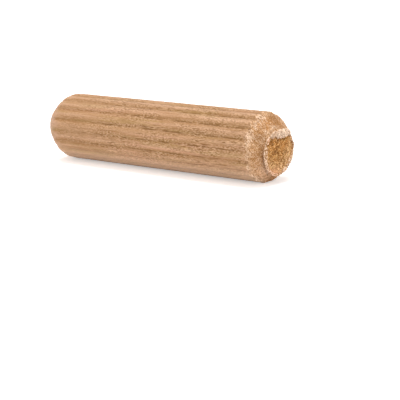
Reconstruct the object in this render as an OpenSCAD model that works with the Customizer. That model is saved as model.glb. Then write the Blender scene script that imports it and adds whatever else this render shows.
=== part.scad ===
// Fluted hardwood dowel pin: a rod with flutes pressed along it, sawn to length and coned at both
// ends. It lies along X on two of its ridges. The end at +X was torn by the saw: a burr stands round
// its rim, the end grain is sunk inside it, and a ragged flap of fibres hangs over the top.

/* [Rod] */
// Diameter over the ridges
pin_d = 8; // [7:0.5:12]
// Overall length, from end face to end face
pin_length = 35; // [20:1:60]

/* [Flutes] */
// Number of flutes pressed round the rod
flute_count = 19; // [16:1:24]
// Depth of a flute below the ridges
flute_depth = 0.2; // [0.1:0.05:0.4]
// Share of each ridge-and-flute wave that the ridge takes
ridge_share = 0.6; // [0.5:0.05:0.7]

/* [Clean end] */
// Length of the cone along the pin, up to its corner with the ridges
cone_length = 1.9; // [1.5:0.1:3]
// Diameter of the cone at the end face
end_face_d = 5.3; // [4.8:0.1:5.8]
// Radius that eases the corner between the cone and the ridges
shoulder_r = 2.5; // [1:0.5:4]

/* [Torn end] */
// Radius left at the corner between the torn cone and the ridges
torn_shoulder_r = 1.2; // [0.8:0.2:2]
// Diameter of the torn cone at its root, where the burr stands on it
torn_root_d = 4.6; // [4:0.1:5]
// Diameter of the burr's rim, round the end face
burr_d = 5.2; // [5.1:0.1:5.4]
// Length of the burr along the pin
burr_length = 0.4; // [0.3:0.05:0.6]
// How much narrower the burr is at its root than at its rim, all round
burr_flare = 0.2; // [0.1:0.05:0.3]
// How far the burr hangs below the pin's axis
burr_drop = 0.4; // [0:0.05:0.45]
// Diameter of the sunken end grain inside the burr
dish_d = 4.4; // [4:0.1:4.5]
// How far the end grain lies to the right of the burr's centre, seen on the end
dish_shift = 0.1; // [0:0.05:0.2]
// How far the end grain lies below the burr's centre
dish_drop = 0.1; // [0:0.05:0.2]
// Depth of the sunken end grain below the rim
dish_depth = 0.25; // [0.1:0.05:0.35]
// How far the flap of torn fibres hangs down inside the rim
flap_width = 0.55; // [0.4:0.05:1]
// Length of the teeth along the flap's torn edge
flap_tooth = 0.2; // [0.1:0.05:0.3]
// Slope of that edge, down to the right, in degrees
flap_slope = 5; // [0:1:10]
// Width of the split that parts the flap's right end from the rim
split_width = 0.25; // [0.15:0.05:0.4]
// Where the split lies round the rim, in degrees from the top
split_angle = 46; // [40:1:55]

/* [Hidden] */
$fn = 64;

pin_r = pin_d / 2;
end_r = end_face_d / 2;
burr_r = burr_d / 2;
dish_r = dish_d / 2;
// Cutting shapes and blanks run this far past what they cut
clear = 0.5;

// The section is a wave of round ridges and round flutes. Their radii follow from the condition that
// neighbours touch: the centres of a ridge and a flute lie the sum of their radii apart.
half_pitch = 180 / flute_count;
bow = 2 * (1 - cos(half_pitch));
wave_a = bow * ridge_share * (1 - ridge_share);
wave_b = 2 * flute_depth
    - bow * (pin_r * (1 - ridge_share) - (pin_r - flute_depth) * ridge_share);
wave_c = -flute_depth * flute_depth - bow * pin_r * (pin_r - flute_depth);
radii_sum = (sqrt(wave_b * wave_b - 4 * wave_a * wave_c) - wave_b) / (2 * wave_a);
ridge_r = ridge_share * radii_sum;
ridge_at = pin_r - ridge_r;
// A flute's circle is a little larger than that, so that it crosses the ridges and leaves a fine edge
flute_bite = 0.02;
flute_r = radii_sum - ridge_r + flute_bite;
flute_at = pin_r - flute_depth + flute_r;

// A flute faces straight down, so the pin rests on the ridges at either side of it
axis_height = ridge_at * cos(half_pitch) + ridge_r;

cone_angle = atan2(pin_r - end_r, cone_length);
// A shoulder's arc crosses the cone and the ridges at this small angle
crossing = 6;

// Centre of a shoulder's arc, as (radius, distance from the end face)
function arc_centre(r) =
    let (at_r = pin_r - r * cos(crossing))
    [at_r, ((at_r - end_r) * cos(cone_angle) + r * cos(crossing)) / sin(cone_angle)];

// Where the cone comes closest to that centre
function arc_foot(r) =
    arc_centre(r) + r * cos(crossing) * [cos(cone_angle), -sin(cone_angle)];

// Half section of one end, in (radius, distance from the end face). The cone starts at the given point,
// and a shoulder of radius r eases its corner with the ridges.
module end_section(start, r) {
    centre = arc_centre(r);
    foot = arc_foot(r);
    difference() {
        polygon([
            [0, start[1]],
            start,
            foot,
            [pin_r + clear, (pin_r + clear - end_r) / tan(cone_angle)],
            [pin_r + clear, pin_length / 2],
            [0, pin_length / 2]
        ]);
        difference() {
            translate([centre[0], foot[1]])
                square([r + clear, centre[1] - foot[1]]);
            translate(centre)
                circle(r);
        }
    }
}

// Cross-section of the rod: round ridges with round flutes between them, one flute facing -Y
module fluted_section() {
    rotate(half_pitch - 90)
        difference() {
            union() {
                polygon([
                    for (i = [0 : 2 * flute_count - 1])
                        let (reach = i % 2 == 0 ? ridge_at : flute_at)
                        [reach * cos(i * half_pitch), reach * sin(i * half_pitch)]
                ]);
                for (i = [0 : flute_count - 1])
                    rotate(2 * i * half_pitch)
                        translate([ridge_at, 0])
                            circle(ridge_r);
            }
            for (i = [0 : flute_count - 1])
                rotate((2 * i + 1) * half_pitch)
                    translate([flute_at, 0])
                        circle(flute_r);
        }
}

// The fluted rod with a coned end at either side, along Z
module coned_rod() {
    intersection() {
        translate([0, 0, -pin_length / 2 - clear])
            linear_extrude(pin_length + 2 * clear)
                fluted_section();
        union() {
            translate([0, 0, -pin_length / 2])
                rotate_extrude()
                    end_section([end_r, 0], shoulder_r);
            translate([0, 0, pin_length / 2])
                mirror([0, 0, 1])
                    rotate_extrude()
                        end_section([torn_root_d / 2, burr_length], torn_shoulder_r);
        }
    }
}

// Burr round the torn end face, centred on it: it widens towards its rim and runs down into the cone
module burr() {
    translate([0, 0, -2 * burr_length])
        cylinder(h = 2 * burr_length, r1 = burr_r - 2 * burr_flare, r2 = burr_r);
}

// Outline of the sunken end grain, centred on it, seen with +Y up: a round dish that the flap's ragged
// edge cuts off at the top, and the split that runs out from it through the rim
module dish_outline() {
    flap_edge = dish_r - flap_width;
    tooth_count = 6;
    tooth_pitch = 2 * burr_r / tooth_count;
    intersection() {
        circle(dish_r);
        rotate(-flap_slope)
            polygon(concat(
                [[-burr_r, -burr_r], [burr_r, -burr_r]],
                [
                    for (i = [tooth_count - 1 : -1 : 0])
                        each [
                            [-burr_r + (i + 1) * tooth_pitch, flap_edge],
                            [-burr_r + (i + 0.4) * tooth_pitch, flap_edge + flap_tooth]
                        ]
                ],
                [[-burr_r, flap_edge]]
            ));
    }
    rotate(90 - split_angle)
        translate([dish_r - split_width, -split_width / 2])
            square([split_width + burr_r - dish_r + clear, split_width]);
}

module dowel_pin() {
    color([0.80, 0.63, 0.47])
        translate([0, 0, axis_height])
            rotate([90, 0, 90])
                difference() {
                    union() {
                        coned_rod();
                        translate([0, -burr_drop, pin_length / 2])
                            burr();
                    }
                    translate([dish_shift, -burr_drop - dish_drop, pin_length / 2 - dish_depth])
                        linear_extrude(dish_depth + clear)
                            dish_outline();
                }
}

dowel_pin();
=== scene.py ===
import math
import random

import bmesh
import bpy
from mathutils import Matrix, Vector, noise


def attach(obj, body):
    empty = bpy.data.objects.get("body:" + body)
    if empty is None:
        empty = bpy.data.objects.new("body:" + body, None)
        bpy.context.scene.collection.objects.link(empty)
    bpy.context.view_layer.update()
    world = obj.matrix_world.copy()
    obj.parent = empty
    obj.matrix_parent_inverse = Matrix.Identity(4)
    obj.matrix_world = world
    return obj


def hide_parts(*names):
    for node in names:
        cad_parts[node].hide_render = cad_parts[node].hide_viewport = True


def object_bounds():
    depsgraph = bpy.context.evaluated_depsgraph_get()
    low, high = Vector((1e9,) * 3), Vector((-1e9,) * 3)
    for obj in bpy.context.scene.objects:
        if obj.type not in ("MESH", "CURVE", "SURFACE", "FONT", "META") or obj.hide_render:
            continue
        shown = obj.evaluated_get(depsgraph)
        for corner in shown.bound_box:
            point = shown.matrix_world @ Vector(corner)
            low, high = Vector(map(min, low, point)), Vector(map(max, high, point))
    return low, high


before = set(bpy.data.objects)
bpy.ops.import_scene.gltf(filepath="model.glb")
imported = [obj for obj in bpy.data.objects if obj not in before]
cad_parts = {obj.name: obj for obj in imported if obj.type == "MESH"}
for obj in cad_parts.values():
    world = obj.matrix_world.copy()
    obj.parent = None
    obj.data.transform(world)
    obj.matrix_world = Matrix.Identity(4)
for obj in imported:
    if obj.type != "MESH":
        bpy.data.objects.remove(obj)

cad_low, cad_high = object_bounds()

# Camera: a long lens looks at the torn end from its corner, a little above the bench. The pin lies in
# the upper left of the view, and the camera leans by three degrees.
lens_mm = 144
sensor_mm = 36
nearest_seen = 0.01
camera_at = (0.130940, -0.130999, 0.038029)
camera_turn = (77.176, 3.422, 43.116)

camera = bpy.data.objects.new("camera", bpy.data.cameras.new("camera"))
camera.data.lens = lens_mm
camera.data.sensor_width = sensor_mm
camera.data.clip_start = nearest_seen
camera.location = camera_at
camera.rotation_euler = [math.radians(angle) for angle in camera_turn]
bpy.context.scene.collection.objects.link(camera)
bpy.context.scene.camera = camera

# Rod: one piece of pale hardwood, turned to a round blank, coned at both ends and pressed between
# grooved rollers that leave straight flutes. It is worked here in millimetres round its own axis,
# with x = 0 at the middle, and laid on the bench when it is done.
mm = 0.001
pin_length = (cad_high.x - cad_low.x) / mm
half_length = pin_length / 2
pin_r = 4.0
end_r = 2.65
cone_long = 1.9
cone_angle = math.atan2(pin_r - end_r, cone_long)
# How much larger than the pressed section the lathe leaves the blank between its cones
lathe_spare = 0.3
# The axis is lower than the radius, because the pin rests on the two ridges beside a flute
axis_height = 3.9542
torn_root_r = 2.3
clean_shoulder_r = 2.5
torn_shoulder_r = 1.2
# How far from its end each cone reaches, with the arc that eases it into the ridges
torn_reach = 2.4
clean_reach = 2.6

around = 480
flutes = 19
flute_pitch = 2 * math.pi / flutes
flute_depth = 0.2
flute_share = 0.4
bowl_rise = 0.55
# How far each flute strays from its even place, in degrees, from the one that faces down
flute_stray = (
    0, 0.6, -0.9, 0.8, -0.5, 1.1, -1.2, 0.4, 0.9, -0.7,
    -1.4, -2.0, 0, 1.4, 1.6, 1.0, 0.1, -1.5, -0.4,
)
# How deeply each was pressed, as a share of the mean
flute_press = (
    0.9, 1.1, 0.8, 1.0, 0.7, 1.1, 0.9, 0.6, 1.0, 1.1,
    0.9, 1.1, 1.1, 0.75, 0.6, 0.9, 0.65, 0.5, 0.9,
)
# How far the fibres curl up where each ridge is cut off by the torn cone
lip_size = (
    0.3, 0.5, 0.2, 0.6, 0.4, 0.2, 0.5, 0.3, 0.6, 0.4,
    0.5, 0.4, 0.5, 0.3, 0.35, 0.3, 0.2, 0.3, 0.5,
)
# Darker flecks in the pressed grain, as (x, degrees round, half length)
flecks = (
    (15.3, 246, 0.8), (14.9, 284, 0.7), (12.9, 225, 0.8), (9.5, 205, 0.4), (9.4, 247, 1.0), (11.0, 282, 1.2),
    (7.0, 284, 1.0), (9.9, 206, 0.3), (4.3, 224, 0.6), (13.9, 225, 0.3), (1.3, 220, 0.5), (3.0, 266, 0.7),
    (-3.0, 285, 0.8), (6.0, 303, 0.6), (12.0, 50, 1.0), (2.0, 100, 1.4), (-6.0, 140, 1.0), (8.0, 170, 0.7),
)
fleck_wide = 2.2

burr_long = 0.42
burr_drop = 0.4
burr_round = 0.04
dish_deep = 0.28
flap_low = 0.9
flap_soft = 0.3
flap_top = 2.02
knob_at = (-1.72, 1.32)
knob_wide = math.sqrt(0.13)
split_at = (2.16, 1.3)
notch_turns = (211, 241)
# How high the torn cone's fuzz and lips stand, and over what cut the tearing sets in
fuzz_high = 0.045
lip_high = 0.08
ridge_lip_high = 0.05
tear_soft = 0.07
# The traces that the flutes leave on the clean cone, and two small stains in them
coned_flute_depth = 0.17
stain_turns = (221, 240)
# The torn face seen from its end, as (degrees, outer reach, inner reach). The outer reach goes to the
# edge of the burr and the inner one to the sunken end grain. Both are from the burr's centre, and
# the angle runs from straight down towards the right. A flap of fibres hangs over the top.
torn_face = (
    (0, 2.66, 2.34), (13, 2.58, 2.14), (28, 2.52, 1.92), (53, 2.51, 1.98), (73, 2.57, 2.06),
    (90, 2.61, 2.20), (97, 2.74, 2.60), (106, 2.74, 2.48), (116, 2.73, 2.40), (122, 2.76, 2.46),
    (126, 2.80, 2.62), (130, 2.88, 2.76), (132, 2.94, 2.60), (134, 2.95, 2.26), (137, 2.92, 2.02),
    (145, 2.86, 1.74), (162, 2.54, 1.54), (172, 2.46, 1.56), (180, 2.42, 1.66), (185, 2.38, 1.88),
    (193, 2.38, 1.90), (201, 2.36, 1.90), (205, 2.34, 1.92), (209, 2.26, 2.02), (213, 2.18, 2.08),
    (217, 2.36, 1.96), (223, 2.50, 1.90), (229, 2.50, 1.86), (234, 2.46, 1.90), (240, 2.44, 2.06),
    (247, 2.44, 1.92), (253, 2.50, 1.76), (259, 2.52, 1.74), (273, 2.54, 1.80), (290, 2.62, 1.96),
    (304, 2.67, 2.10), (319, 2.72, 2.22), (330, 2.77, 2.28), (345, 2.74, 2.32), (360, 2.66, 2.34),
)

# Softly edged spots on the torn cone, as (degrees round, spread, distance from the end, spread, amount)
# Paler spots; the two at 326 and 346 degrees, at the bottom, are painted light where it lies in shade
pale_and_painted_light_spots = (
    (245, 45, 1.5, 0.3, 0.3), (205, 30, 0.5, 0.28, 0.25), (201, 10, 1.75, 0.45, 0.4),
    (178, 10, 0.55, 0.25, 0.4), (326, 26, 1.8, 0.35, 0.8), (346, 28, 0.5, 0.35, 0.9),
)
# Darker spots, which go into the painted shade
dull_and_painted_shade_spots = (
    (296, 30, 1.3, 0.4, 0.42), (210, 6, 1.05, 0.2, 0.4), (224, 10, 0.5, 0.25, 0.4),
    (188, 18, 0.85, 0.3, 0.3), (165, 15, 1.3, 0.8, 0.75), (150, 12, 1.0, 0.5, 0.35),
    (272, 10, 1.4, 0.3, 0.55), (260, 7, 1.0, 0.4, -0.5), (230, 24, 1.0, 0.3, 0.3), (241, 9, 0.95, 0.4, 0.3),
)
# The one tuft that stands out, where a ridge's fibres curled up over the flute beside it
tuft_turn = 241
tuft_distance = 1.72
# Spots where a flute is darker, or paler below 0, with x in place of the distance. The paler one at
# 188 degrees, along the top, is a painted highlight
flute_spots = (
    (188, 9, 0.5, 4.5, -1.0), (226, 14, -9, 4, 0.25), (236, 5, 3, 5, 0.35), (256, 5, 3, 5, 0.35),
)
# Shade in the sunken end grain, as (y, spread, z, spread, amount)
floor_shades = (
    (-0.3, 0.2, 1.36, 0.16, 1.3), (1.2, 0.42, 0.88, 0.15, 1.2), (-1.2, 0.35, 1.0, 0.35, -0.8),
    (2.18, 0.18, 1.35, 0.42, 1.0), (-0.1, 0.4, -0.6, 0.5, 0.35), (0.8, 0.25, -1.3, 0.25, 0.6),
    (1.4, 0.3, -0.35, 0.3, 0.3),
)


def shoulder(radius):
    """Centre and foot of the arc that eases the cone into the ridges, as radius and distance."""
    reach = radius * math.cos(math.radians(6))
    centre_r = pin_r - reach
    centre_h = ((centre_r - end_r) * math.cos(cone_angle) + reach) / math.sin(cone_angle)
    foot = (centre_r + reach * math.cos(cone_angle), centre_h - reach * math.sin(cone_angle))
    return centre_r, centre_h, foot


def heading(turn):
    """How far an angle points to the right and up."""
    return math.sin(turn), -math.cos(turn)


def turned_radius(distance, arc_r, start_r, start_h):
    """Radius of the turned blank at a distance from the end face."""
    centre_r, centre_h, foot = shoulder(arc_r)
    if distance >= centre_h:
        return pin_r + lathe_spare
    if distance >= foot[1]:
        drop = centre_h - distance
        return centre_r + math.sqrt(max(arc_r * arc_r - drop * drop, 0.0))
    along = (distance - start_h) / (foot[1] - start_h)
    return start_r + (foot[0] - start_r) * along


def stray(turn):
    """How far the flutes beside an angle stray, in radians."""
    place = turn / flute_pitch % flutes
    low = int(place)
    share = place - low
    mean = flute_stray[low] * (1 - share) + flute_stray[(low + 1) % flutes] * share
    return math.radians(mean)


def from_flute(turn):
    """Distance of an angle from the middle of its flute, from 0 to 1 on the ridge's crown."""
    return abs((turn + flute_pitch / 2) % flute_pitch - flute_pitch / 2) / (flute_pitch / 2)


def pressed_radius(off, depth):
    """Radius of the pressed section, off being the distance from the flute's middle."""
    if off < flute_share:
        bowl = off / flute_share
        return pin_r - depth * (1 - bowl_rise * bowl * bowl)
    crown = (1 - off) / (1 - flute_share)
    return pin_r - depth * (1 - bowl_rise) * crown * crown


def steps(first, last, count):
    """Evenly spaced values after the first, up to the last."""
    return [first + (last - first) * index / count for index in range(1, count + 1)]


# Stations of the blank from the clean face's centre to the middle of the torn face. Each is a zone
# name, its own measure in that zone, and where the lathe leaves it as (x, radius).
rim_wide = 0.4
stations = [("face", 0.0, -half_length, 0.0)]
for radius in (0.4, 0.9, 1.4, 1.9, 2.3, 2.52, 2.62):
    stations.append(("face", radius, -half_length, radius))
for distance in [0.03, 0.08] + steps(0.08, clean_reach, 28):
    stations.append(("clean", distance, -half_length + distance, pin_r))
for distance in steps(clean_reach, pin_length - torn_reach, 60):
    stations.append(("shank", distance, -half_length + distance, pin_r))
for distance in steps(torn_reach, burr_long, 56):
    stations.append(("torn", distance, half_length - distance, pin_r))
for share in steps(0.0, 1.0, 8):
    stations.append(("burr", share, half_length - burr_long * (1 - share), end_r))
for share in steps(0.0, 1.0, 10):
    stations.append(("rim", share, half_length, end_r - rim_wide * share))
for share in steps(0.0, 1.0, 4):
    stations.append(("wall", share, half_length - dish_deep * share, end_r - rim_wide))
for share in steps(1.0, 0.0, 26):
    stations.append(("floor", share, half_length - dish_deep, (end_r - rim_wide) * share))

rod = bmesh.new()
station_layer = rod.verts.layers.int.new("station")
before = None
for index, (zone, measure, x, radius) in enumerate(stations):
    point = rod.verts.new((x, 0.0, -radius))
    point[station_layer] = index
    if before:
        rod.edges.new((before, point))
    before = point
bmesh.ops.spin(
    rod, geom=rod.verts[:] + rod.edges[:], cent=(0, 0, 0), axis=(1, 0, 0), dvec=(0, 0, 0),
    angle=2 * math.pi, steps=around, use_merge=True, use_duplicate=False,
)
poles = [v for v in rod.verts if v[station_layer] in (0, len(stations) - 1)]
bmesh.ops.remove_doubles(rod, verts=poles, dist=1e-5)

# What the wood is like at each point, which the material reads by name. Each runs from 0 to 1, and
# "flute" falls below 0 on the ridges' crowns. One mark is painted shade in the torn end's creases,
# notches and hollows and under its flap, with darker fibres too, and "pale" is in part painted light.
mark_names = ("flute", "line", "coned", "sawn", "torn", "pale", "gold", "pink", "end_grain", "crease")
marks = {name: rod.verts.layers.float.new(name) for name in mark_names}


def rough(x, y, z, seed=0.0):
    """Smooth noise from -1 to 1."""
    return noise.noise(Vector((x + seed * 7.3, y - seed * 3.1, z + seed * 5.7)))


def clamp(value):
    return min(max(value, 0.0), 1.0)


def smooth_min(a, b, soft):
    """The smaller of two values, with a soft change from one to the other."""
    blend = clamp(0.5 + 0.5 * (b - a) / soft)
    return b + (a - b) * blend - soft * blend * (1 - blend)


def near(value, middle, spread):
    """1 where a value is at the middle, falling to 0 either side of it."""
    return math.exp(-((value - middle) / spread) ** 2)


def turn_near(turn, middle, spread):
    """The same for an angle, with the middle and the spread in degrees."""
    gap = (turn - math.radians(middle) + math.pi) % (2 * math.pi) - math.pi
    return math.exp(-(gap / math.radians(spread)) ** 2)


def spots_round(spots, along, turn):
    """Sum of the spots of a table at a place along the pin and an angle round it."""
    total = 0.0
    for degrees, turn_spread, middle, spread, amount in spots:
        total += amount * turn_near(turn, degrees, turn_spread) * near(along, middle, spread)
    return total


def relief(distance, turn, seed):
    """Torn fibres on the cone, from -1 to 1: short ribs that run the way the saw went down."""
    swung = turn - 0.33 * math.sin(turn) * distance
    side = math.sin(swung)
    up = math.cos(swung)
    broad = rough(distance * 2.6, side * 16, up * 16, seed)
    return 0.8 * broad + 0.8 * rough(distance * 6, side * 32, up * 32, seed + 1)


def cone_shift(turn):
    """How much nearer the end the torn cone starts: more at the left, and below 0 on top."""
    return 0.2 * turn_near(turn, 275, 50) - 0.3 * turn_near(turn, 170, 38)


def torn_radius(distance, turn):
    """Radius of the torn cone at a distance from the end and an angle round it."""
    shift = cone_shift(turn) * clamp((distance - burr_long) / 0.8)
    return turned_radius(distance + shift, torn_shoulder_r, torn_root_r, burr_long)


def strand_size(y, z, seed):
    """A size from about -1 to 1 that is its own for the strand of the flap that a place lies in."""
    strand = math.floor((y - 0.2) / (1 + 0.3 * (z - 1.6)) * 5.6 + 0.9 * rough(y * 1.6, z * 1.8, 0.0, 41))
    return 1.8 * rough(strand * 1.73, 0.37, 0.21, seed)


def face_reach(turn):
    """Outer and inner reach of the burr at an angle, with the ragged edges that tearing leaves."""
    place = math.degrees(turn) % 360
    for before, after in zip(torn_face, torn_face[1:]):
        if place <= after[0]:
            share = (place - before[0]) / (after[0] - before[0])
            break
    outer, inner = [a + (b - a) * share for a, b in zip(before[1:], after[1:])]
    side, up = heading(turn)
    outer += 0.08 * rough(side * 11, up * 11, 0.0, 15) + 0.07 * rough(side * 26, up * 26, 0.0, 25)
    inner += 0.04 * rough(3.4 * side, 3.4 * up, 0.0, 3) + 0.06 * rough(12 * side, 12 * up, 0.0, 33)
    over_dish = clamp(up * 3 - 1.6)
    if over_dish > 0:
        inner += 0.12 * over_dish * strand_size(inner * side, inner * up - burr_drop, 42)
        outer += 0.10 * over_dish * strand_size(outer * side, outer * up - burr_drop, 43)
    return outer, min(inner, outer - 0.08)


def floor_depth(y, z):
    """Depth of the end grain below the face, for a place measured from the pin's axis."""
    return dish_deep + 0.09 * z - 0.03 * y


def gold_at(distance, turn):
    """How golden the torn cone is, from 0 to 1."""
    top = 1.2 * turn_near(turn, 181, 44) * near(distance, 1.05, 0.6)
    return clamp(top + 0.7 * turn_near(turn, 20, 25))


def in_shade(turn):
    """How much painted shade the torn cone takes where it lies deep beside the burr, from 0 to 1."""
    sides = max(turn_near(turn, 272, 32), 0.8 * turn_near(turn, 304, 12), 0.8 * turn_near(turn, 60, 60))
    return 0.1 + 0.9 * max(sides, 0.6 * turn_near(turn, 235, 14))


def beads(y, z):
    """How the burr swells and shrinks from bead to bead along it."""
    return rough(y * 5, z * 5, 0.0, 16) + 0.4 * rough(y * 11, z * 11, 0.0, 18)


def crest(side, up, bead):
    """How far the burr's crest lies from the pin's very end, below 0 where it stands back."""
    return -0.13 + 0.03 * rough(side * 3, up * 3, 0.0, 14) + 0.10 * bead


def shape_face(v, reach, turn):
    """The clean end's face, sawn across the grain and all but flat."""
    v[marks["coned"]] = 1.0
    v[marks["sawn"]] = 1.0 if reach < end_r - 0.05 else 0.5
    side, up = heading(turn)
    v.co.x += 0.02 * rough(reach * side * 5, reach * up * 5, 0.0)


def tear_cone(v, distance, turn, off, ridge, pressed):
    """Tear the cone at a point. Returns its radius, the ridge's there, and how far it is torn."""
    side, up = heading(turn)
    turned = torn_radius(distance, turn)
    cut = pressed - turned + 0.05 * rough(distance * 3, side * 16, up * 16, 8)
    tear = clamp(cut / tear_soft)
    lift = relief(distance, turn, 10)
    patch = rough(distance * 1.1, side * 4, up * 4, 31)
    coarse = 0.5 + 0.75 * turn_near(turn, 190, 50)
    curl = turn_near(turn, tuft_turn, 5) * near(distance, tuft_distance, 0.16)
    lip = near(cut, 0.05, 0.055) * clamp(lip_size[ridge] + 0.6 * rough(side * 18, up * 18, distance * 2, 12))
    lip = max(lip * clamp(off * 1.6 - 0.2), curl)
    v[marks["torn"]] = max(tear, clamp(1.6 * curl))
    ragged = (0.6 * lift + 0.25 * patch) * coarse
    # Paler where the fibres are bleached, and painted light at the bottom
    bright = 0.05 + spots_round(pale_and_painted_light_spots, distance, turn)
    v[marks["pale"]] = clamp(0.35 * lip - 0.1 * curl + tear * clamp(ragged + bright))
    golden = gold_at(distance, turn) + 0.25 * rough(side * 2.2, up * 2.2, distance, 13)
    v[marks["gold"]] = tear * clamp(golden)
    rosy = 0.3 * lip + 0.3 * turn_near(turn, 340, 40) * near(distance, 0.8, 0.6)
    v[marks["pink"]] = tear * clamp(rosy)
    # Painted shade, deepest towards the burr's root, with the darker spots added
    deep = 0.95 * clamp((1.2 - distance) / 0.65) - 0.25 * lift - 0.2 * patch
    dull = spots_round(dull_and_painted_shade_spots, distance, turn)
    v[marks["crease"]] = tear * clamp(deep * in_shade(turn) - 0.1 + dull)
    turned += tear * fuzz_high * coarse * lift + lip_high * lip
    return turned, pressed + ridge_lip_high * lip, tear


def shape_flutes(v, zone, measure, x, turn):
    """The flutes, and the cones that cut them off at either end."""
    side, up = heading(turn)
    led = turn - stray(turn)
    flute = int(led / flute_pitch + 0.5 + flutes) % flutes
    led += 0.012 * rough(x * 0.12, side * 6, up * 6)
    press = flute_press[flute]
    press *= 1 - 0.25 * near(x, -3, 7) - 0.25 * near(x, 4, 4) * turn_near(turn, 292, 34)
    depth = flute_depth * press * (1 + 0.25 * rough(x * 0.3, flute * 2.7, 0.0, 1))
    off = from_flute(led)
    pressed = pressed_radius(off, depth)
    pressed += 0.010 * rough(x * 0.5, side * 14, up * 14, 2) + 0.006 * rough(x * 1.4, side * 30, up * 30, 7)
    in_flute = max(min(1.25 - off / flute_share, 1.0), -1.0) * press + spots_round(flute_spots, x, turn)
    for fleck_x, fleck_turn, fleck_long in flecks:
        if abs(x - fleck_x) < 2.5 * fleck_long:
            in_flute += 0.7 * near(x, fleck_x, fleck_long) * turn_near(turn, fleck_turn, fleck_wide)
    if zone == "torn":
        ridge = int(led / flute_pitch + flutes) % flutes
        turned, pressed, tear = tear_cone(v, measure, turn, off, ridge, pressed)
        in_flute *= 1 - tear
    elif zone == "clean":
        turned = turned_radius(measure, clean_shoulder_r, end_r, 0.0)
        v[marks["coned"]] = clamp((pressed + 0.12 - turned) / 0.14)
        v[marks["gold"]] = max(turn_near(turn, place, 4) for place in stain_turns) * near(measure, 1.5, 0.16)
        turned -= coned_flute_depth * max(in_flute, 0) * clamp(measure / 0.7)
        in_flute *= 1 - 0.9 * v[marks["coned"]]
    else:
        turned = turned_radius(min(measure, pin_length - measure), clean_shoulder_r, end_r, 0.0)
        v[marks["line"]] = clamp(1.15 - off / 0.16)
    v[marks["flute"]] = in_flute
    final = smooth_min(turned, pressed, 0.04)
    v.co = (x, final * side, final * up)


def shape_burr(v, share, turn):
    """The burr's outside, from its root on the cone to its crest."""
    side, up = heading(turn)
    outer, _ = face_reach(turn)
    reach = torn_root_r + (outer - burr_round - torn_root_r) * share ** 1.4
    bead = beads(reach * side, reach * up)
    reach += 0.05 * rough(side * 20, up * 20, share * 2.5, 17) * math.sin(math.pi * share)
    x = half_length - burr_long * (1 - share) + crest(side, up, bead) * share
    v.co = (x, reach * side, reach * up - burr_drop * share ** 0.6)
    v[marks["torn"]] = 1.0
    # Painted light, paler towards the top of the burr's root and at its bottom
    burr_painted_light = 0.15 * turn_near(turn, 195, 30) * (1 - share) + 0.7 * turn_near(turn, 334, 15)
    v[marks["pale"]] = clamp(share ** 4 + 0.4 * bead + burr_painted_light)
    # Painted shade, darker towards the root where the burr meets the cone
    v[marks["crease"]] = clamp(1.4 - share * 1.2 - 0.5 * bead) * in_shade(turn)


def shape_rim(v, share, turn):
    """The burr's rim, with the flap over its top, a knob and two notches beside it, and a split."""
    side, up = heading(turn)
    outer, edge = face_reach(turn)
    reach = outer - burr_round + (edge - outer + burr_round) * share
    y = reach * side
    z = reach * up - burr_drop
    bead = beads(reach * side, reach * up)
    knob = near(math.dist((y, z), knob_at), 0.0, knob_wide)
    flap = clamp((z - flap_low) / flap_soft) * clamp((y + 1.3) / 0.2)
    gap = max(turn_near(turn, notch_turns[0], 6), 0.7 * turn_near(turn, notch_turns[1], 4)) * (1 - knob)
    split = near(y, split_at[0], 0.16) * near(z, split_at[1], 0.42)
    orange = near(y, 2.5, 0.35) * near(z, -0.1, 0.4)
    ruffle = rough(y * 3.1 + z, z * 2.4, 0.0, 44) + 0.6 * rough(y * 7 + 2 * z, z * 3.5, 0.0, 45)
    inner = clamp((share - 0.75) / 0.25) * (1 - flap)
    x = half_length + crest(side, up, bead) * (1 - share) + 0.04 * math.sin(math.pi * share) - 0.12 * share
    x += 0.07 * ruffle * flap + 0.12 * knob - 0.3 * gap - 0.08 * split - 0.08 * inner * (1 + bead)
    v.co = (x, y, z)
    v[marks["torn"]] = 1.0
    light = (0.8 + 0.2 * y + 0.35 * ruffle) * flap + (0.3 + 1.5 * bead - 0.1 * up) * (1 - flap)
    v[marks["pale"]] = clamp(light - 0.6 * inner - 0.3 * knob - gap - split - orange)
    v[marks["gold"]] = orange
    v[marks["pink"]] = clamp(knob + 0.8 * turn_near(turn, 330, 25) + 0.5 * bead - orange)
    # Painted shade between the beads and the flap's strands, in the notches and in the split
    dark = (-0.15 - bead) * 3 * (1 - flap) * (1 - inner) + clamp(-0.6 * ruffle - 0.1) * flap
    v[marks["crease"]] = clamp(dark + gap + 1.2 * split + 0.25 * orange)
    v[marks["end_grain"]] = 0.5 * inner + 0.7 * split


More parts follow.
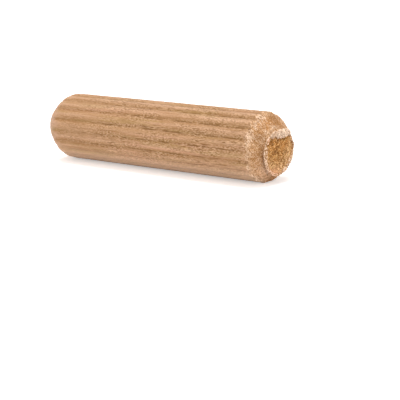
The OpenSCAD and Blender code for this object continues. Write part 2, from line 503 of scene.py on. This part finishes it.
def shape_hollow(v, wall, share, turn):
    """The burr's inner wall, or the end grain that lies sunk inside it."""
    side, up = heading(turn)
    _, edge = face_reach(turn)
    reach = edge * (1 - 0.02 * share) if wall else edge * 0.98 * share
    y = reach * side
    z = reach * up - burr_drop
    bead = beads(reach * side, reach * up)
    sunk = floor_depth(y, z) - 0.07 * rough(y * 5, z * 5, 0.0, 21) - 0.06 * rough(y * 10, z * 10, 0.0, 22)
    top = -0.12 - 0.08 * (1 + bead) * (1 - clamp((z - flap_low) / flap_soft))
    x = half_length + top + (-sunk - top) * share if wall else half_length - sunk
    v.co = (x, y, z)
    v[marks["torn"]] = 1.0
    v[marks["end_grain"]] = 0.6 + 0.4 * share if wall else 1.0
    low_right = clamp((y - z - 0.9) / 1.5)
    low_left = clamp((-0.6 * y - z - 1.4) / 0.9)
    low_light = max(0.95 * low_right, 0.8 * low_left) + 0.2 * rough(y * 3, z * 3, 0.0, 23)
    v[marks["pale"]] = 0.2 if wall else clamp(low_light)
    v[marks["pink"]] = near(y, -0.7, 0.8) * near(z, -2.5, 0.45)
    v[marks["gold"]] = 1.2 * near(y, 0.1, 1.7) * near(z, 0.4, 1.1) + near(y, 2.4, 0.4) * near(z, -0.1, 0.4)
    # Painted shadow under the flap, and painted shade in the end grain's hollows and on the burr's inner
    # wall, darker towards its top
    flap_shadow = clamp(1 - (edge - reach) * 3.5) * clamp(up * 2.4 - 0.8) * clamp((y + 1.3) / 0.6)
    hollow = 0.0
    for middle_y, spread_y, middle_z, spread_z, amount in floor_shades:
        hollow += amount * near(y, middle_y, spread_y) * near(z, middle_z, spread_z)
    v[marks["crease"]] = clamp(1.2 * hollow + (0.5 * clamp(up * 2 + 0.6) if wall else flap_shadow))


for v in rod.verts:
    zone, measure, x, _ = stations[v[station_layer]]
    turn = math.atan2(v.co.y, -v.co.z)
    if zone == "face":
        shape_face(v, measure, turn)
    elif zone == "burr":
        shape_burr(v, measure, turn)
    elif zone == "rim":
        shape_rim(v, measure, turn)
    elif zone in ("wall", "floor"):
        shape_hollow(v, zone == "wall", measure, turn)
    else:
        shape_flutes(v, zone, measure, x, turn)

lay_down = Matrix.Translation((0, 0, axis_height * mm)) @ Matrix.Scale(mm, 4)


def make_object(worked, name):
    """An object with the worked mesh."""
    mesh = bpy.data.meshes.new(name)
    worked.to_mesh(mesh)
    worked.free()
    made = bpy.data.objects.new(name, mesh)
    bpy.context.scene.collection.objects.link(made)
    return made


def lay_on_bench(worked, name):
    """The worked wood as an object in its place, held to the pin's very end and to the bench."""
    for v in worked.verts:
        v.co.x = min(v.co.x, half_length)
        v.co.z = max(v.co.z, -axis_height)
    bmesh.ops.recalc_face_normals(worked, faces=worked.faces[:])
    for face in worked.faces:
        face.smooth = True
    bmesh.ops.transform(worked, matrix=lay_down, verts=worked.verts[:])
    return make_object(worked, name)


pin = lay_on_bench(rod, "pin")


def tint(red, green, blue):
    """Display colour from 0 to 255 as the linear colour that a shader takes."""
    channels = [value / 255 for value in (red, green, blue)]
    return [c / 12.92 if c <= 0.04045 else ((c + 0.055) / 1.055) ** 2.4 for c in channels] + [1.0]


wood = bpy.data.materials.new("raw_hardwood")
wood.use_nodes = True
tree = wood.node_tree
tree.nodes.clear()


def add(kind, **settings):
    """A new node in the tree that is being made."""
    made = tree.nodes.new(kind)
    for name, value in settings.items():
        setattr(made, name, value)
    return made


def link(source, target):
    tree.links.new(source, target)


def arithmetic(operation, first, second):
    """A sum or product, each side a number or the output of a node, held between 0 and 1."""
    made = add("ShaderNodeMath", operation=operation, use_clamp=True)
    for socket, value in zip(made.inputs, (first, second)):
        if isinstance(value, (int, float)):
            socket.default_value = value
        else:
            link(value, socket)
    return made.outputs[0]


def plus(first, second):
    return arithmetic("ADD", first, second)


def times(first, second):
    return arithmetic("MULTIPLY", first, second)


def between(value, low, high):
    """0 where a value is at the low level, rising softly to 1 at the high one, which may be lower."""
    made = add("ShaderNodeMapRange", interpolation_type="SMOOTHSTEP")
    made.inputs["From Min"].default_value = low
    made.inputs["From Max"].default_value = high
    link(value, made.inputs["Value"])
    return made.outputs["Result"]


def some(share, value, low, high):
    """A share of what lies between two levels of a noise."""
    return times(between(value, low, high), share)


def mix(factor, first, second):
    """Mix of two colours, each a colour or the output of a node."""
    made = add("ShaderNodeMix", data_type="RGBA")
    factor_in, first_in, second_in = [made.inputs[place] for place in (0, 6, 7)]
    link(factor, factor_in)
    for socket, value in ((first_in, first), (second_in, second)):
        if isinstance(value, list):
            socket.default_value = value
        else:
            link(value, socket)
    return made.outputs[2]


def mark(name):
    """How much of one of the rod's marks a point has."""
    return add("ShaderNodeAttribute", attribute_name=name).outputs["Fac"]


coordinates = add("ShaderNodeTexCoord").outputs["Object"]


def place_by(shift, scale, **settings):
    """The object's coordinates, moved and scaled."""
    made = add("ShaderNodeMapping", **settings)
    made.inputs["Location"].default_value = shift
    made.inputs["Scale"].default_value = scale
    link(coordinates, made.inputs["Vector"])
    return made


def noise_on(place, detail):
    made = add("ShaderNodeTexNoise")
    made.inputs["Scale"].default_value = 1.0
    made.inputs["Detail"].default_value = detail
    made.inputs["Roughness"].default_value = 0.6
    link(place.outputs[0], made.inputs["Vector"])
    return made.outputs["Fac"]


def grain(along, across, detail, seed):
    """Noise with features of these sizes, in millimetres along the pin and across it."""
    scale = (1000 / along, 1000 / across, 1000 / across)
    return noise_on(place_by((seed, seed * 1.7, seed * 2.3), scale), detail)


comb_degrees = -38


def combed(long, wide, detail, seed):
    """Noise on the torn face, drawn out the way its fibres lean. Sizes are in millimetres."""
    size = (wide * mm, wide * mm, long * mm)
    place = place_by((seed, seed * 1.7, seed * 2.3), size, vector_type="TEXTURE")
    place.inputs["Rotation"].default_value = (math.radians(comb_degrees), 0, 0)
    return noise_on(place, detail)


# The grain is open and flecked towards the torn end, and closed and smooth towards the clean one
place_on_pin = add("ShaderNodeSeparateXYZ")
link(coordinates, place_on_pin.inputs[0])
near_torn_end = between(place_on_pin.outputs["X"], -0.019, 0.0)
# Painted light: the bottom of the pin is painted paler, where it lies in shade on the bench
painted_underside_light = between(place_on_pin.outputs["Z"], 0.0026, 0.0003)
open_grain = times(between(grain(7.0, 1.0, 1, 15), 0.36, 0.6), near_torn_end)
streaks = grain(9.0, 0.22, 2, 1)
bands = grain(30.0, 1.6, 2, 2)
blush = grain(14.0, 1.1, 2, 12)
olive = grain(12.0, 0.9, 1, 13)
crown_breaks = grain(5.0, 0.5, 2, 17)
flute_breaks = grain(1.2, 0.2, 2, 5)
line_breaks = grain(1.3, 0.3, 2, 14)
light_dashes = grain(0.9, 0.12, 1, 3)
dark_dashes = grain(1.1, 0.10, 1, 4)
patches = grain(4.0, 0.6, 1, 18)
speckle = grain(0.4, 0.10, 0, 11)
fine_speckle = grain(0.3, 0.08, 0, 16)
fuzz = grain(0.30, 0.16, 2, 6)

# Pressed wood: broad bands and long streaks, paler on the ridges' crowns and darker in the flutes
shank = mix(between(bands, 0.35, 0.65), tint(181, 139, 101), tint(175, 134, 98))
shank = mix(some(0.65, blush, 0.48, 0.64), shank, tint(194, 146, 116))
shank = mix(between(streaks, 0.40, 0.70), shank, tint(164, 121, 82))
shank = mix(times(mark("coned"), 0.65), shank, tint(200, 161, 134))
shank = mix(some(0.5, olive, 0.54, 0.68), shank, tint(160, 127, 74))
# The ridges' crowns are paler, partly burnish and partly painted highlight
crown = times(times(mark("flute"), -1.0), between(crown_breaks, 0.3, 0.6))
shank = mix(times(crown, 0.42), shank, tint(214, 172, 144))
# The flutes are darker, partly dirt and partly painted shade
in_flute = times(mark("flute"), plus(between(flute_breaks, 0.38, 0.58), 0.6))
shank = mix(times(in_flute, plus(times(near_torn_end, 0.06), 0.33)), shank, tint(134, 96, 46))
shank = mix(times(some(0.5, light_dashes, 0.53, 0.66), open_grain), shank, tint(214, 174, 134))
shank = mix(times(some(0.9, dark_dashes, 0.54, 0.64), open_grain), shank, tint(116, 78, 38))
shank = mix(some(0.12, speckle, 0.5, 0.7), shank, tint(216, 178, 142))
shank = mix(some(0.17, speckle, 0.5, 0.3), shank, tint(124, 88, 42))
fine = times(plus(near_torn_end, 0.2), plus(between(patches, 0.4, 0.6), 0.25))
shank = mix(times(some(0.6, fine_speckle, 0.5, 0.3), fine), shank, tint(118, 84, 42))
shank = mix(times(some(0.36, fine_speckle, 0.5, 0.7), fine), shank, tint(222, 184, 150))
flute_line = times(mark("line"), between(line_breaks, 0.44, 0.56))
flute_line = times(flute_line, plus(times(near_torn_end, 0.65), 0.1))
shank = mix(flute_line, shank, tint(104, 68, 26))
shank = mix(times(some(0.2, fuzz, 0.5, 0.35), mark("coned")), shank, tint(164, 122, 88))
# Painted light on the bottom of the pin
shank = mix(times(painted_underside_light, 0.65), shank, tint(216, 182, 154))
shank = mix(times(mark("gold"), 0.4), shank, tint(206, 118, 70))

# Torn wood: fine fuzz, bleached where fibres stand up, golden or dark where they are scraped off
fuzz_dark = grain(0.24, 0.16, 1, 7)
torn_speckle = grain(0.14, 0.10, 0, 19)
torn_colour = mix(between(fuzz, 0.38, 0.66), tint(180, 136, 94), tint(206, 160, 118))
torn_colour = mix(times(mark("gold"), 0.85), torn_colour, tint(188, 126, 60))
torn_colour = mix(some(0.7, fuzz_dark, 0.52, 0.64), torn_colour, tint(140, 96, 50))
torn_colour = mix(some(0.5, torn_speckle, 0.5, 0.3), torn_colour, tint(136, 92, 48))
torn_colour = mix(times(mark("pale"), 0.94), torn_colour, tint(255, 229, 204))
torn_colour = mix(times(mark("pink"), 0.6), torn_colour, tint(240, 182, 152))
# Painted shade beside the burr, between its beads, in its notches and split, with darker fibres
torn_colour = mix(times(mark("crease"), 0.8), torn_colour, tint(126, 82, 36))
torn_colour = mix(some(0.75, torn_speckle, 0.5, 0.3), torn_colour, tint(138, 94, 52))
torn_colour = mix(some(0.25, torn_speckle, 0.5, 0.7), torn_colour, tint(244, 208, 170))

# Sunken end grain: cut fibres seen end on, golden towards the top and paler towards the lower edge
cut_dark = combed(0.34, 0.14, 1, 8)
cut_light = combed(0.34, 0.14, 1, 9)
cut_streaks = combed(0.9, 0.26, 1, 20)
cut_broad = grain(2.0, 0.8, 2, 10)
end_colour = mix(between(cut_broad, 0.35, 0.65), tint(184, 124, 62), tint(202, 144, 82))
end_colour = mix(times(mark("gold"), 0.85), end_colour, tint(188, 114, 34))
end_colour = mix(times(mark("pale"), 0.8), end_colour, tint(220, 180, 140))
end_colour = mix(some(0.35, cut_streaks, 0.5, 0.66), end_colour, tint(222, 174, 112))
end_colour = mix(some(0.35, cut_streaks, 0.5, 0.34), end_colour, tint(140, 88, 32))
end_colour = mix(some(0.7, cut_light, 0.5, 0.62), end_colour, tint(238, 194, 132))
end_colour = mix(some(0.85, cut_dark, 0.5, 0.62), end_colour, tint(134, 84, 32))
end_colour = mix(some(0.7, torn_speckle, 0.5, 0.34), end_colour, tint(120, 76, 24))
end_colour = mix(some(0.4, torn_speckle, 0.5, 0.68), end_colour, tint(248, 206, 148))
end_colour = mix(times(mark("pink"), 0.5), end_colour, tint(232, 174, 138))
# Painted shade and shadow in the end grain's hollows and under the flap, with darker stubs
end_colour = mix(times(mark("crease"), 0.7), end_colour, tint(108, 74, 24))

# Sawn face: growth rings round a heart that lies outside the pin
heart_y = 0.0046
heart_z = 0.0100
rings = add("ShaderNodeTexWave", wave_type="RINGS", rings_direction="X")
rings.inputs["Scale"].default_value = 285
rings.inputs["Distortion"].default_value = 1.2
rings.inputs["Detail Scale"].default_value = 0.6
link(place_by((0, -heart_y, -heart_z), (1, 1, 1)).outputs[0], rings.inputs["Vector"])
sawn_colour = mix(some(0.6, rings.outputs["Fac"], 0.5, 1.0), tint(204, 162, 120), tint(176, 132, 90))
sawn_colour = mix(some(0.45, speckle, 0.5, 0.3), sawn_colour, tint(142, 102, 62))
sawn_colour = mix(some(0.3, fine_speckle, 0.5, 0.7), sawn_colour, tint(222, 186, 150))

colour = mix(mark("torn"), shank, torn_colour)
colour = mix(mark("sawn"), colour, sawn_colour)
colour = mix(mark("end_grain"), colour, end_colour)

bump = add("ShaderNodeBump")
bump.inputs["Strength"].default_value = 0.5
bump.inputs["Distance"].default_value = 0.06 * mm
link(plus(times(streaks, 0.5), times(fuzz, mark("torn"))), bump.inputs["Height"])

surface = add("ShaderNodeBsdfPrincipled")
surface.inputs["Specular IOR Level"].default_value = 0.14
pressed_gloss = plus(times(streaks, 0.24), 0.46)
link(plus(pressed_gloss, times(mark("torn"), 0.25)), surface.inputs["Roughness"])
link(colour, surface.inputs["Base Color"])
link(bump.outputs["Normal"], surface.inputs["Normal"])
link(surface.outputs[0], add("ShaderNodeOutputMaterial").inputs["Surface"])
pin.data.materials.append(wood)

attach(pin, "root")
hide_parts("dowel_pin")

# Torn fibres: where the saw and the coning knife lifted the grain, slivers of the same wood stand on
# the torn cone, round the burr, along the flap and over the end grain. Each grows out of the rod.
cone_fibres = 1500
tuft_fibres = 26
burr_fibres = 420
flap_fibres = 300
grain_fibres = 420
# A sliver has four sides and bends at two heights along it
sliver_sides = 4
sliver_bends = (0.35, 0.7)

fibres = bmesh.new()
fibre_marks = {name: fibres.verts.layers.float.new(name) for name in mark_names}
along_layer = fibres.verts.layers.float.new("along")
bmesh.ops.create_cone(
    fibres, cap_ends=True, segments=sliver_sides, radius1=0.5, radius2=0.1, depth=1.0,
    matrix=Matrix.Translation((0, 0, 0.5)),
)
for height in sliver_bends:
    bmesh.ops.bisect_plane(
        fibres, geom=fibres.verts[:] + fibres.edges[:] + fibres.faces[:],
        plane_co=(0, 0, height), plane_no=(0, 0, 1),
    )
for v in fibres.verts:
    v[along_layer] = v.co.z
sliver = fibres.verts[:] + fibres.edges[:] + fibres.faces[:]


def points_of(geometry):
    return [part for part in geometry if isinstance(part, bmesh.types.BMVert)]


def grow(root, direction, lean, length, width, bend, **shades):
    """A sliver from its root, bent towards its lean, with marks that change from root to tip."""
    points = points_of(bmesh.ops.duplicate(fibres, geom=sliver)["geom"])
    direction = direction.normalized()
    across = lean.cross(direction).normalized()
    lean = direction.cross(across)
    place = Matrix((across * width, lean * width * 0.6, direction * length)).transposed().to_4x4()
    place.translation = root
    bmesh.ops.transform(fibres, matrix=place, verts=points)
    for v in points:
        share = v[along_layer]
        v.co += lean * (bend * length * share * share)
        v[fibre_marks["torn"]] = 1.0
        for name, (low, high) in shades.items():
            v[fibre_marks[name]] = low + (high - low) * share


def on_cone(distance, turn):
    """Place on the torn cone, and the directions towards the end, round the cone and out of it."""
    radius, behind = [torn_radius(distance + back, turn) for back in (0, 0.05)]
    slope = math.atan2(max(min(behind, pin_r) - radius, 0.0), 0.05)
    radius = min(radius, pin_r - 0.1)
    side, up = heading(turn)
    place = Vector((half_length - distance, radius * side, radius * up))
    ahead = Vector((math.cos(slope), -math.sin(slope) * side, -math.sin(slope) * up))
    out = Vector((math.sin(slope), math.cos(slope) * side, math.cos(slope) * up))
    return place, ahead, Vector((0, -up, side)), out


# Fuzz all over the torn cone, combed the way the saw went down
random.seed(21)
saw_way = Vector((0.8, 0.0, -0.65))
for _ in range(cone_fibres):
    distance = 0.5 + 1.4 * random.random() ** 0.85
    turn = random.uniform(0, 2 * math.pi)
    place, _, _, out = on_cone(distance, turn)
    with_saw = (saw_way - out * saw_way.dot(out)).normalized()
    # Painted shade on fibres deep beside the burr, and three in ten darker at random
    shaded = clamp((0.95 - distance) / 0.5) * in_shade(turn) + (0.6 if random.random() < 0.3 else 0.0)
    skew = math.radians(random.gauss(0, 36))
    rise = math.radians(random.uniform(2, 22))
    direction = with_saw * math.cos(skew) + out.cross(with_saw) * math.sin(skew)
    direction = direction * math.cos(rise) + out * math.sin(rise)
    light = random.random()
    golden = gold_at(distance, turn)
    grow(
        place - out * 0.05, direction, -out, random.uniform(0.14, 0.42), random.uniform(0.045, 0.1),
        random.uniform(-0.1, 0.2), pale=(0.1 * light, 0.75 * light ** 2), gold=(golden, 0.7 * golden),
        crease=(shaded, 0.7 * shaded),
    )

# Lips, where the cone cuts each ridge off and its fibres curl back
for ridge in range(flutes):
    for _ in range(int(lip_size[ridge] * 6)):
        turn = (ridge + 0.5 + random.uniform(-0.3, 0.3)) * flute_pitch
        turn += stray(turn)
        start = cone_long - cone_shift(turn)
        place, ahead, around_it, out = on_cone(start - random.uniform(0.05, 0.2), turn)
        direction = out * random.uniform(0.1, 0.3) - ahead + around_it * random.uniform(-0.6, 0.6)
        grow(
            place - out * 0.06, direction, ahead, random.uniform(0.15, 0.28), random.uniform(0.1, 0.2),
            random.uniform(-0.2, 0.1), pale=(0.2, random.uniform(0.3, 0.7)),
        )

# The tuft that stands out
for _ in range(tuft_fibres):
    turn = math.radians(random.gauss(tuft_turn, 3.4))
    place, ahead, around_it, out = on_cone(random.gauss(tuft_distance - 0.02, 0.06), turn)
    direction = out * random.uniform(0.3, 0.9) - ahead * random.uniform(0.2, 1)
    direction += around_it * random.gauss(0, 0.6)
    grow(
        place - out * 0.04, direction, ahead, random.uniform(0.15, 0.3), random.uniform(0.1, 0.2), 0.1,
        pale=(0.15, random.uniform(0.2, 0.6)),
    )

# Short bristles round the burr, except under the flap and in its notches
burr_middle = Vector((half_length, 0.0, -burr_drop))
for _ in range(burr_fibres):
    turn = random.uniform(0, 2 * math.pi)
    side, up = heading(turn)
    outward = Vector((0, side, up))
    outer, _ = face_reach(turn)
    if up > 0.75 or turn_near(turn, notch_turns[0], 7) + turn_near(turn, notch_turns[1], 4) > 0.5:
        continue
    jitter = Vector([random.uniform(-0.9, 0.9) for _ in range(3)])
    direction = outward * random.uniform(-0.3, 0.7) + Vector((0.7, 0, 0)) + jitter
    root = burr_middle + outward * (outer - random.uniform(0.08, 0.34)) + Vector((-0.24, 0, 0))
    light = random.random()
    grow(
        root, direction, -outward, random.uniform(0.16, 0.3), random.uniform(0.07, 0.15), 0.1,
        pale=(0.0, light ** 1.2), crease=(0.9 * (1 - light), 0.8 * (1 - light) ** 2),
        pink=(0.3, 0.5 * turn_near(turn, 330, 40)),
    )

# The flap's pale fibres, which hang down over the end grain and fan out
random.seed(5)
for _ in range(flap_fibres):
    y = random.uniform(-0.98, 1.85)
    turn = math.atan2(y, -(1.2 + burr_drop))
    low_edge = face_reach(turn)[1] * heading(turn)[1] - burr_drop
    z = flap_top - 0.1 * max(0.4 - y, 0.0) - random.uniform(0.0, 0.6)
    fan = 0.35 * (y - 0.2) + random.uniform(-0.9, 0.5)
    length = min(random.uniform(0.3, 0.8), z - low_edge + random.uniform(-0.08, 0.16))
    if length < 0.12 or abs(y + 0.3) < 0.13:
        continue
    root = Vector((half_length - random.uniform(0.08, 0.2), y, z))
    light = random.random()
    white = clamp(0.48 + 0.4 * light + 0.2 * y)
    grow(
        root, Vector((random.uniform(0.05, 0.35), fan, -1)), Vector((-1, 0, 0)), length,
        random.uniform(0.06, 0.16), random.uniform(0, 0.15), pale=(white, clamp(white + 0.15)),
        crease=(0.7 * (1 - light) ** 6, 0.4 * (1 - light) ** 6),
    )

# Stubs over the end grain
random.seed(8)
for _ in range(grain_fibres):
    turn = random.uniform(0, 2 * math.pi)
    reach = (face_reach(turn)[1] - 0.12) * math.sqrt(random.random())
    side, up = heading(turn)
    y = reach * side
    z = reach * up - burr_drop
    root = Vector((half_length - floor_depth(y, z) - 0.08, y, z))
    spread = Vector((random.uniform(0.3, 1.0), random.uniform(-0.8, 0.4), random.uniform(-0.3, 0.9)))
    light = random.random()
    pale_right = clamp((y - z - 1.3) / 1.3)
    golden = near(y, 0.1, 1.4) * near(z, 0.3, 1.0)
    grow(
        root, spread, Vector((0, 0, -1)), random.uniform(0.18, 0.36), random.uniform(0.07, 0.13), 0.2,
        end_grain=(1.0, 1.0), pale=(0.1 * light, clamp(0.5 * light ** 2 + 0.5 * pale_right)),
        crease=(0.5 * (1 - light), 0.0), gold=(golden, 0.5 * golden),
    )

bmesh.ops.delete(fibres, geom=points_of(sliver))
torn_fibres = lay_on_bench(fibres, "torn_fibres")
torn_fibres.data.materials.append(wood)

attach(torn_fibres, "root")

# Bench: a plain sheet of white paper under the pin, far larger than the pin is. It shows as white to
# the camera and in reflections, and it keeps the pin's shadow.
bench_half = 3.0
paper_glow = 0.4
sheet = bmesh.new()
bmesh.ops.create_grid(sheet, x_segments=1, y_segments=1, size=bench_half)
bench = make_object(sheet, "bench")


def seen():
    """1 for rays from the camera, a mirror or a glass, and 0 for those that only carry light."""
    path = add("ShaderNodeLightPath")
    rays = plus(path.outputs["Is Camera Ray"], path.outputs["Is Glossy Ray"])
    return plus(rays, path.outputs["Is Transmission Ray"])


paper = bpy.data.materials.new("white_paper")
paper.use_nodes = True
tree = paper.node_tree
tree.nodes.clear()
matt = add("ShaderNodeBsdfDiffuse")
matt.inputs["Color"].default_value = (0.94, 0.94, 0.94, 1)
glow = add("ShaderNodeEmission")
glow.inputs["Color"].default_value = (1, 1, 1, 1)
link(times(seen(), paper_glow), glow.inputs["Strength"])
both = add("ShaderNodeAddShader")
link(matt.outputs[0], both.inputs[0])
link(glow.outputs[0], both.inputs[1])
link(both.outputs[0], add("ShaderNodeOutputMaterial").inputs["Surface"])
bench.data.materials.append(paper)

# Light: an even white room that shows as white behind the bench, and three soft boxes. The one above
# is the strongest, and the two at the right and the front fill the shaded side.
room_light = 0.72
world = bpy.data.worlds.new("room")
bpy.context.scene.world = world
world.use_nodes = True
tree = world.node_tree
background = tree.nodes["Background"]
background.inputs["Color"].default_value = (1, 1, 1, 1)
link(plus(times(seen(), 1 - room_light), room_light), background.inputs["Strength"])


def soft_box(name, place, width, watts):
    """A round soft box that faces the pin."""
    lamp = bpy.data.lights.new(name, "AREA")
    lamp.shape = "DISK"
    lamp.size = width
    lamp.energy = watts
    made = bpy.data.objects.new(name, lamp)
    made.location = place
    made.rotation_euler = (-Vector(place)).to_track_quat("-Z", "Y").to_euler()
    bpy.context.scene.collection.objects.link(made)


soft_box("soft_box_above", (-0.05, 0.03, 0.42), 0.26, 1.38)
soft_box("soft_box_right", (0.38, -0.16, 0.12), 0.24, 0.5)
soft_box("soft_box_front", (-0.08, -0.42, 0.03), 0.24, 0.1)

bpy.context.scene.view_settings.view_transform = "Standard"
